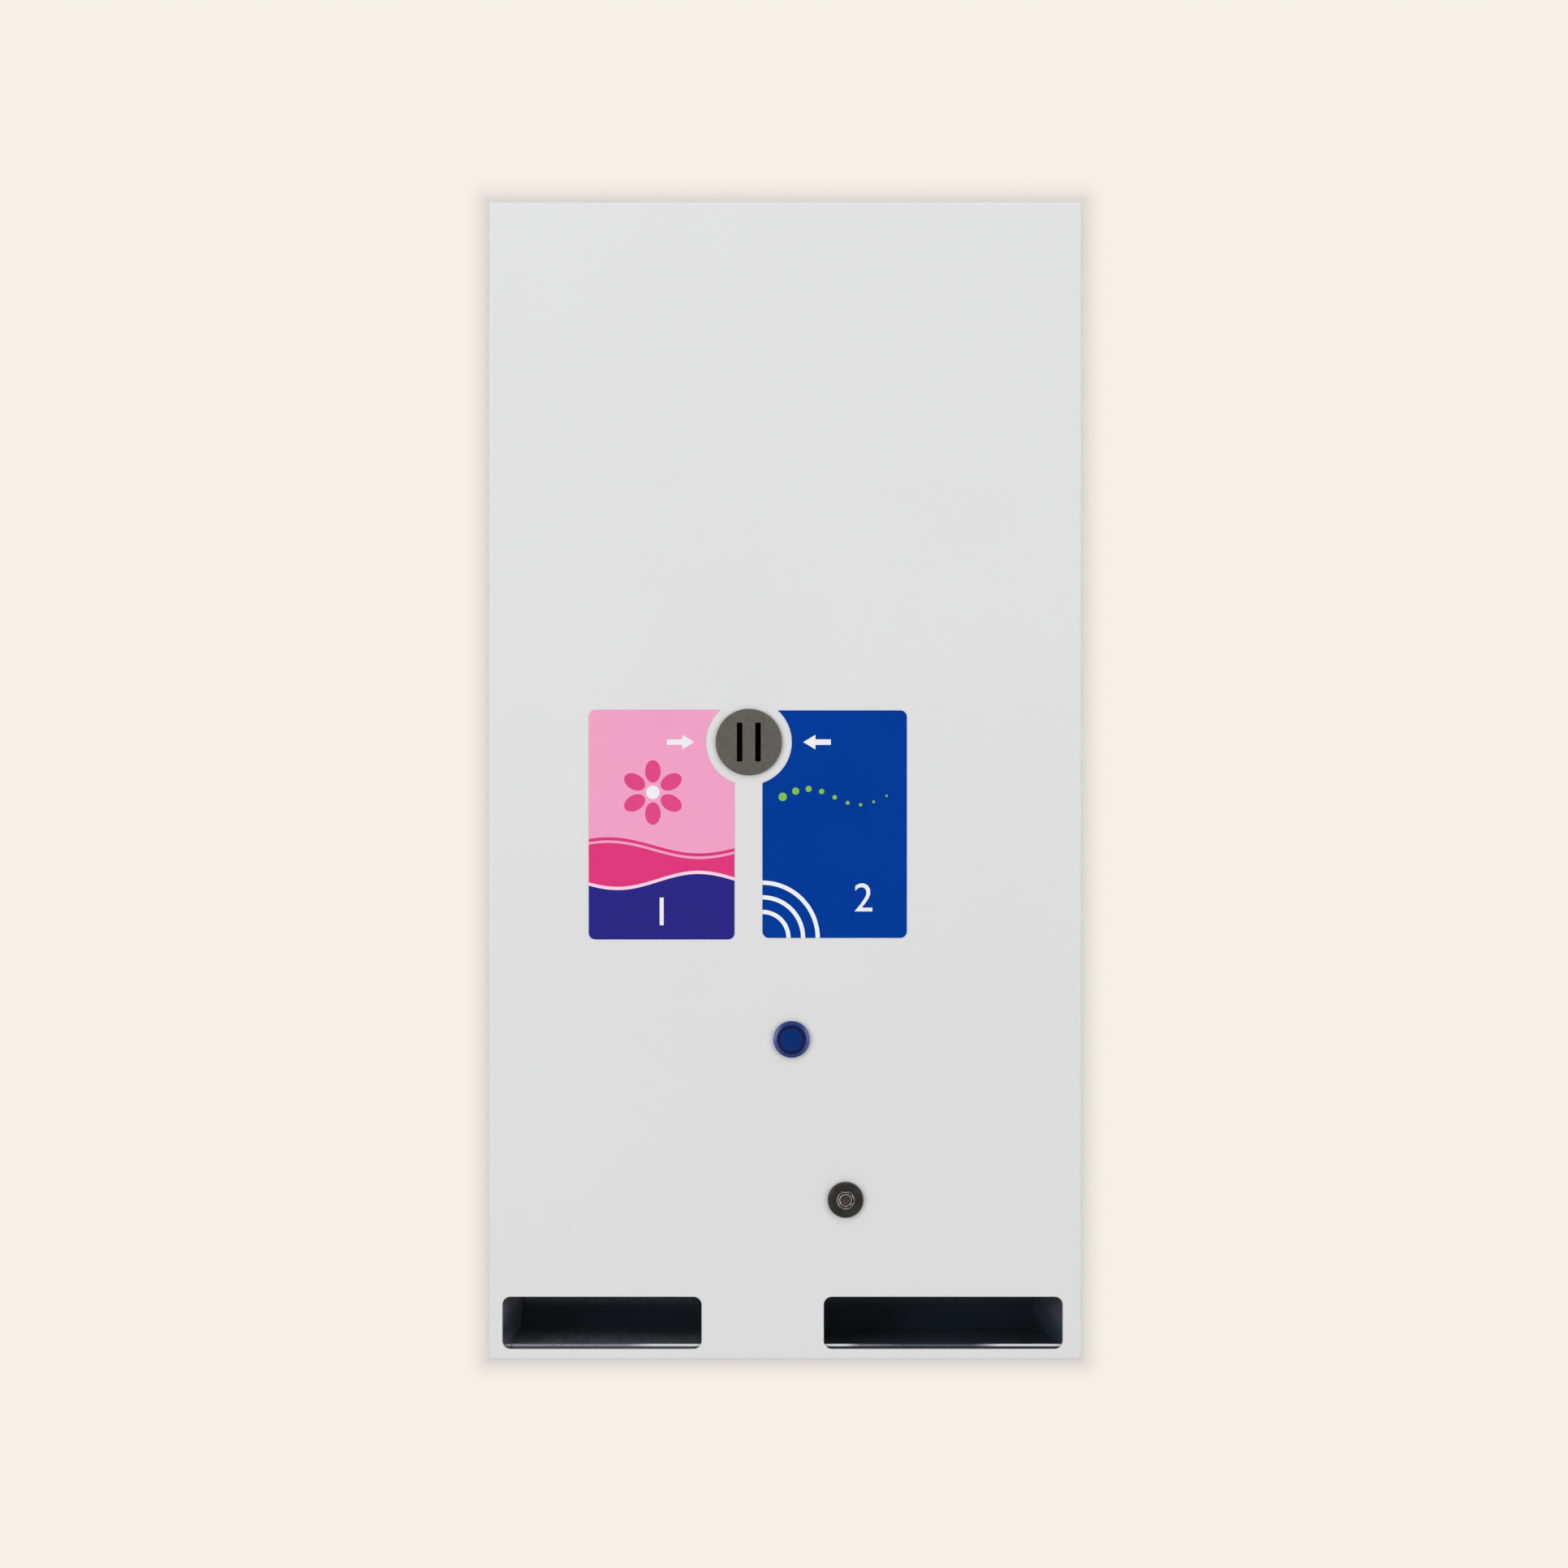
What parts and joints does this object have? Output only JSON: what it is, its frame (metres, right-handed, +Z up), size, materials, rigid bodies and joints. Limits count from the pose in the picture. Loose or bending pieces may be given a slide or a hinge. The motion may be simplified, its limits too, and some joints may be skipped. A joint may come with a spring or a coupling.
{
  "type": "sanitary napkin vending machine",
  "caption": "Wall-hung twin-column coin vendor: flat hinged door with coin plate, push button, tubular lock and low delivery mouths; ejectors, trays and cash box inside.",
  "frame": {"origin": "centre of the four wall holes, on the wall plane at the machine's middle height", "axes": "+X to the right seen from the front, -Y out of the wall towards the user, +Z up"},
  "size_m": [0.366, 0.1586, 0.714],
  "materials": {
    "door_paint": "smooth satin powder coat, cool white",
    "casing_paint": "smooth satin powder coat, cool white",
    "zinc_sheet": "zinc-plated sheet",
    "steel_part": "turned or pressed steel",
    "screw_steel": "zinc-plated fasteners",
    "coin_steel": "dull cast grey steel",
    "tray_plastic": "glossy black moulding",
    "towel_vinyl": "printed vinyl, pinks and violet",
    "tampon_vinyl": "printed vinyl, blue and white",
    "button_blue": "blue moulding",
    "cap_blue": "blue moulding",
    "lock_black": "black zinc",
    "lock_chrome": "polished plug",
    "black_plastic": "black moulding",
    "grey_plastic": "grey moulding",
    "rubber": "black rubber",
    "nylon": "natural nylon",
    "motor_metal": "zinc die casting and steel can",
    "brass": "plain brass",
    "board_green": "solder-masked board",
    "relay_blue": "relay case",
    "terminal_green": "terminal strip",
    "cell_wrap": "plain wrapped cells",
    "cable_jacket": "flexible jacket"
  },
  "bodies": {
    "casing": {"back_casing": "casing_paint", "door_buffers": "rubber", "casing_hinge_leaf": "steel_part", "hinge_pin": "steel_part", "column_screws": "screw_steel", "lock_strike": "zinc_sheet", "control_board": "board_green", "board_spacers": "nylon", "board_relays": "relay_blue", "board_capacitors": "black_plastic", "board_chips": "black_plastic", "board_terminals": "terminal_green", "battery_holder": "black_plastic", "battery_cells": "cell_wrap", "cable_loom": "cable_jacket", "towel_column": "zinc_sheet", "towel_shelf": "zinc_sheet", "towel_tray": "tray_plastic", "towel_motor": "motor_metal", "towel_rack_guides": "nylon", "tampon_column": "zinc_sheet", "tampon_shelf": "zinc_sheet", "tampon_tray": "tray_plastic", "tampon_motor": "motor_metal", "tampon_rack_guides": "nylon"},
    "door": {"front_door": "door_paint", "door_hinge_leaf": "steel_part", "towel_label": "towel_vinyl", "tampon_label": "tampon_vinyl", "coin_plate": "coin_steel", "coin_plate_nuts": "screw_steel", "coin_mech_body": "black_plastic", "coin_mech_covers": "grey_plastic", "coin_chute": "zinc_sheet", "gate_solenoid": "motor_metal", "coin_return_chute": "zinc_sheet", "cash_box_rail": "zinc_sheet", "button_bezel": "button_blue", "button_nut": "black_plastic", "button_spring": "steel_part", "button_switch": "black_plastic", "switch_terminals": "brass", "lock_body": "lock_black", "lock_nut": "screw_steel"},
    "coin_gate": {"coin_gate": "steel_part"},
    "cash_box": {"cash_box": "zinc_sheet"},
    "button_cap": {"button_cap": "cap_blue"},
    "lock_plug": {"lock_plug": "lock_chrome", "lock_cam": "steel_part", "cam_screw": "screw_steel"},
    "towel_ejector": {"towel_ejector": "nylon"},
    "towel_pinion": {"towel_pinion": "brass"},
    "towel_follower": {"towel_follower": "zinc_sheet", "towel_weight": "steel_part"},
    "tampon_ejector": {"tampon_ejector": "nylon"},
    "tampon_pinion": {"tampon_pinion": "brass"},
    "tampon_follower": {"tampon_follower": "zinc_sheet", "tampon_weight": "steel_part"}
  },
  "joints": [
    {"name": "door_swing", "type": "hinge", "parent": "casing", "child": "door", "pos_m": [-0.1806, -0.132, 0], "axis": [0, 0, -1], "range_deg": [0, 110]},
    {"name": "button_press", "type": "slide", "parent": "door", "child": "button_cap", "axis": [0, 1, 0], "range_m": [0, 0.003], "stiffness_N_per_m": 400, "springref_m": -0.003, "deforming": ["button_spring"]},
    {"name": "lock_turn", "type": "hinge", "parent": "door", "child": "lock_plug", "pos_m": [0.03715, -0.155, -0.258], "axis": [0, -1, 0], "range_deg": [0, 90]},
    {"name": "gate_swing", "type": "hinge", "parent": "door", "child": "coin_gate", "pos_m": [-0.0224, -0.125, -0.0972], "axis": [0, -1, 0], "range_deg": [0, 50]},
    {"name": "cash_box_lift", "type": "slide", "parent": "door", "child": "cash_box", "axis": [0, 0, 1], "range_m": [0, 0.012]},
    {"name": "towel_eject", "type": "slide", "parent": "casing", "child": "towel_ejector", "axis": [0, -1, 0], "range_m": [0, 0.06]},
    {"name": "towel_pinion_turn", "type": "hinge", "parent": "casing", "child": "towel_pinion", "pos_m": [0, -0.0652, -0.31345], "axis": [1, 0, 0], "range_deg": [0, 343.8]},
    {"name": "towel_feed", "type": "slide", "parent": "casing", "child": "towel_follower", "axis": [0, 0, 1], "range_m": [0, 0.48]},
    {"name": "tampon_eject", "type": "slide", "parent": "casing", "child": "tampon_ejector", "axis": [0, -1, 0], "range_m": [0, 0.06]},
    {"name": "tampon_pinion_turn", "type": "hinge", "parent": "casing", "child": "tampon_pinion", "pos_m": [0, -0.0652, -0.31345], "axis": [1, 0, 0], "range_deg": [0, 343.8]},
    {"name": "tampon_feed", "type": "slide", "parent": "casing", "child": "tampon_follower", "axis": [0, 0, 1], "range_m": [0, 0.48]}
  ],
  "couplings": [
    {"joint": "towel_pinion_turn", "follows": "towel_eject", "rad_per_m": 100},
    {"joint": "tampon_pinion_turn", "follows": "tampon_eject", "rad_per_m": 100}
  ]
}
